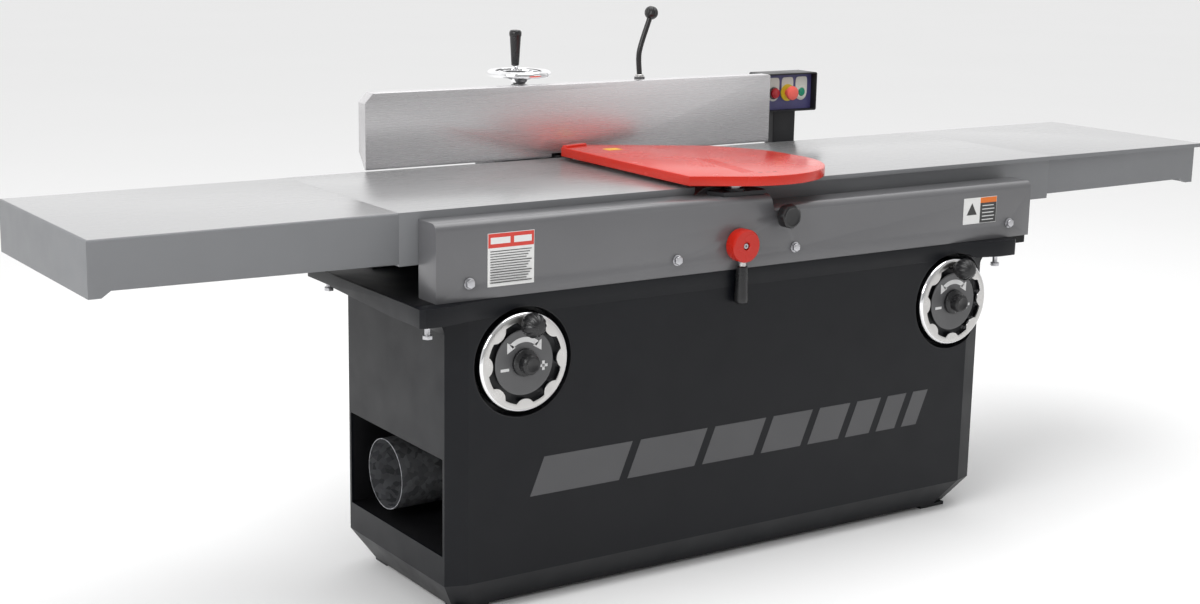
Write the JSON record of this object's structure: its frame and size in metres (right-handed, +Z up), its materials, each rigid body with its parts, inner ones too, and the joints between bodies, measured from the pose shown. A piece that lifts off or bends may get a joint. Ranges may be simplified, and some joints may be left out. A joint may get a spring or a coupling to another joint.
{
  "type": "jointer",
  "caption": "Long-bed floor-standing jointer with sloping-way tables, segmented cutterhead, swing guard, tilting fence, height handwheels, switch box and dust outlet.",
  "frame": {"origin": "on the floor at the centre of the rectangle of floor anchor holes", "axes": "+X from the outfeed end to the infeed end, -Y towards the operator, +Z up"},
  "size_m": [3.04, 1.212, 1.201],
  "materials": {
    "cabinet_paint": "satin",
    "bed_paint": "satin",
    "beam_paint": "satin",
    "casting_paint": "satin",
    "guard_paint": "satin",
    "lock_paint": "satin",
    "fence_iron": "ground",
    "fence_casting": "satin",
    "ground_steel": "ground",
    "machined_steel": "machined",
    "zinc_bolts": "zinc plated",
    "chrome": "polished",
    "carbide": "ground",
    "dial_face": "painted satin",
    "black_plastic": "semi-gloss",
    "black_parts": "satin",
    "galvanised": "galvanised",
    "sheet_paint": "satin",
    "motor_paint": "satin",
    "belt_rubber": "matt",
    "panel_face": "satin",
    "stop_red": "gloss",
    "mushroom_red": "satin",
    "ring_yellow": "satin",
    "start_green": "gloss"
  },
  "bodies": {
    "machine_base": {"cabinet_shell": "cabinet_paint", "cabinet_flange": "cabinet_paint", "ear_bolts": "zinc_bolts", "floor_feet": "black_parts", "bed_frame": "bed_paint", "table_ways": "machined_steel", "front_beam": "beam_paint", "beam_bolts": "zinc_bolts", "guard_bracket": "black_parts", "wheel_dishes": "black_parts", "bearing_blocks": "fence_casting", "head_bearings": "ground_steel", "drive_belts": "belt_rubber", "belt_guard": "sheet_paint", "motor": "motor_paint", "motor_plate": "black_parts", "dust_chute": "galvanised", "dust_bay": "sheet_paint", "service_panel": "cabinet_paint", "fence_support": "fence_casting", "control_post": "black_parts", "control_hood": "black_parts", "control_panel": "panel_face", "estop_ring": "ring_yellow"},
    "outfeed_table": {"outfeed_table": "casting_paint", "outfeed_extension": "casting_paint", "outfeed_joint_bolts": "zinc_bolts"},
    "infeed_table": {"infeed_table": "casting_paint", "infeed_extension": "casting_paint", "infeed_joint_bolts": "zinc_bolts"},
    "outfeed_wheel": {"outfeed_shaft": "machined_steel", "outfeed_handwheel": "chrome", "outfeed_dial": "dial_face"},
    "infeed_wheel": {"infeed_shaft": "machined_steel", "infeed_handwheel": "chrome", "infeed_dial": "dial_face"},
    "outfeed_knob": {"outfeed_rim_knob": "black_plastic"},
    "infeed_knob": {"infeed_rim_knob": "black_plastic"},
    "outfeed_lock": {"outfeed_lock_knob": "black_plastic"},
    "infeed_lock": {"infeed_lock_knob": "black_plastic"},
    "outfeed_lead_screw": {"outfeed_screw": "machined_steel"},
    "infeed_lead_screw": {"infeed_screw": "machined_steel"},
    "cutter": {"cutterhead": "machined_steel", "cutter_inserts": "carbide", "head_pulley": "machined_steel"},
    "motor_rotor": {"motor_pulley": "machined_steel"},
    "guard_hub": {"guard_post": "machined_steel"},
    "guard": {"guard_plate": "guard_paint"},
    "table_lock": {"lock_hub": "lock_paint", "lock_grip": "black_plastic"},
    "clamp": {"clamp_knob": "black_plastic"},
    "carriage": {"fence_carriage": "machined_steel"},
    "fence": {"fence_plate": "fence_iron", "fence_bracket": "fence_casting"},
    "tilt_crank": {"tilt_wheel": "chrome"},
    "crank_grip": {"tilt_wheel_grip": "black_plastic"},
    "fence_lock": {"fence_lever": "black_parts"},
    "stop_switch": {"stop_button": "stop_red"},
    "start_switch": {"start_button": "start_green"},
    "emergency_switch": {"estop_button": "mushroom_red"}
  },
  "joints": [
    {"name": "outfeed_table_slide", "type": "slide", "parent": "machine_base", "child": "outfeed_table", "axis": [0.9703, 0, 0.2419], "range_m": [-0.04, 0.002]},
    {"name": "infeed_table_slide", "type": "slide", "parent": "machine_base", "child": "infeed_table", "axis": [-0.9703, 0, 0.2419], "range_m": [-0.052, 0]},
    {"name": "outfeed_wheel_turn", "type": "hinge", "parent": "machine_base", "child": "outfeed_wheel", "pos_m": [-0.564, -0.2, 0.532], "axis": [0, 1, 0], "range_deg": [-100, 1810]},
    {"name": "infeed_wheel_turn", "type": "hinge", "parent": "machine_base", "child": "infeed_wheel", "pos_m": [0.638, -0.2, 0.532], "axis": [0, 1, 0], "range_deg": [-10, 2350]},
    {"name": "outfeed_screw_turn", "type": "hinge", "parent": "machine_base", "child": "outfeed_lead_screw", "pos_m": [-0.564, 0.06, 0.532], "axis": [0.9703, 0, 0.2419], "range_deg": [-100, 1810]},
    {"name": "infeed_screw_turn", "type": "hinge", "parent": "machine_base", "child": "infeed_lead_screw", "pos_m": [0.638, 0.06, 0.532], "axis": [-0.9703, 0, 0.2419], "range_deg": [-10, 2350]},
    {"name": "outfeed_knob_spin", "type": "hinge", "parent": "outfeed_wheel", "child": "outfeed_knob", "pos_m": [-0.564, -0.26, 0.616], "axis": [0, 1, 0], "continuous": true},
    {"name": "infeed_knob_spin", "type": "hinge", "parent": "infeed_wheel", "child": "infeed_knob", "pos_m": [0.638, -0.26, 0.616], "axis": [0, 1, 0], "continuous": true},
    {"name": "outfeed_lock_turn", "type": "hinge", "parent": "outfeed_wheel", "child": "outfeed_lock", "pos_m": [-0.564, -0.25, 0.532], "axis": [0, 1, 0], "range_deg": [0, 180]},
    {"name": "infeed_lock_turn", "type": "hinge", "parent": "infeed_wheel", "child": "infeed_lock", "pos_m": [0.638, -0.25, 0.532], "axis": [0, 1, 0], "range_deg": [0, 180]},
    {"name": "cutter_spin", "type": "hinge", "parent": "machine_base", "child": "cutter", "pos_m": [-0.037, 0.1, 0.7865], "axis": [0, 1, 0], "continuous": true},
    {"name": "motor_spin", "type": "hinge", "parent": "machine_base", "child": "motor_rotor", "pos_m": [0.19, 0.44, 0.33], "axis": [0, 1, 0], "continuous": true},
    {"name": "guard_hub_turn", "type": "hinge", "parent": "machine_base", "child": "guard_hub", "pos_m": [-0.005, -0.195, 0.85], "axis": [0, 0, 1], "range_deg": [0, 121]},
    {"name": "guard_swing", "type": "hinge", "parent": "guard_hub", "child": "guard", "pos_m": [-0.005, -0.195, 0.867], "axis": [0, 0, 1], "range_deg": [0, 60], "stiffness_Nm_per_rad": 3},
    {"name": "table_lock_turn", "type": "hinge", "parent": "machine_base", "child": "table_lock", "pos_m": [-0.011, -0.245, 0.728], "axis": [0, 1, 0], "range_deg": [0, 120]},
    {"name": "clamp_knob_turn", "type": "hinge", "parent": "machine_base", "child": "clamp", "pos_m": [0.103, -0.25, 0.785], "axis": [0, 1, 0], "range_deg": [-360, 0]},
    {"name": "fence_slide", "type": "slide", "parent": "machine_base", "child": "carriage", "axis": [0, -1, 0], "range_m": [0, 0.3]},
    {"name": "fence_tilt", "type": "hinge", "parent": "carriage", "child": "fence", "pos_m": [0, 0.43, 0.869], "axis": [-1, 0, 0], "range_deg": [0, 45]},
    {"name": "tilt_crank_turn", "type": "hinge", "parent": "fence", "child": "tilt_crank", "pos_m": [-0.157, 0.465, 1], "axis": [0, 0, 1], "range_deg": [0, 1810]},
    {"name": "crank_grip_spin", "type": "hinge", "parent": "tilt_crank", "child": "crank_grip", "pos_m": [-0.13452, 0.52063, 1.1], "axis": [0, 0, 1], "continuous": true},
    {"name": "fence_lock_turn", "type": "hinge", "parent": "fence", "child": "fence_lock", "pos_m": [0.183, 0.445, 1.02], "axis": [0, 0, 1], "range_deg": [0, 90]},
    {"name": "stop_press", "type": "slide", "parent": "machine_base", "child": "stop_switch", "axis": [0, 1, 0], "range_m": [0, 0.004], "stiffness_N_per_m": 400},
    {"name": "start_press", "type": "slide", "parent": "machine_base", "child": "start_switch", "axis": [0, 1, 0], "range_m": [0, 0.003], "stiffness_N_per_m": 400},
    {"name": "emergency_press", "type": "slide", "parent": "machine_base", "child": "emergency_switch", "axis": [0, 1, 0], "range_m": [0, 0.006]}
  ],
  "couplings": [
    {"joint": "outfeed_wheel_turn", "follows": "outfeed_table_slide", "rad_per_m": -785.4},
    {"joint": "outfeed_screw_turn", "follows": "outfeed_table_slide", "rad_per_m": -785.4},
    {"joint": "infeed_wheel_turn", "follows": "infeed_table_slide", "rad_per_m": -785.4},
    {"joint": "infeed_screw_turn", "follows": "infeed_table_slide", "rad_per_m": -785.4},
    {"joint": "motor_spin", "follows": "cutter_spin", "ratio": 0.5848},
    {"joint": "guard_hub_turn", "follows": "fence_slide", "rad_per_m": 6.98},
    {"joint": "tilt_crank_turn", "follows": "fence_tilt", "ratio": 40}
  ]
}
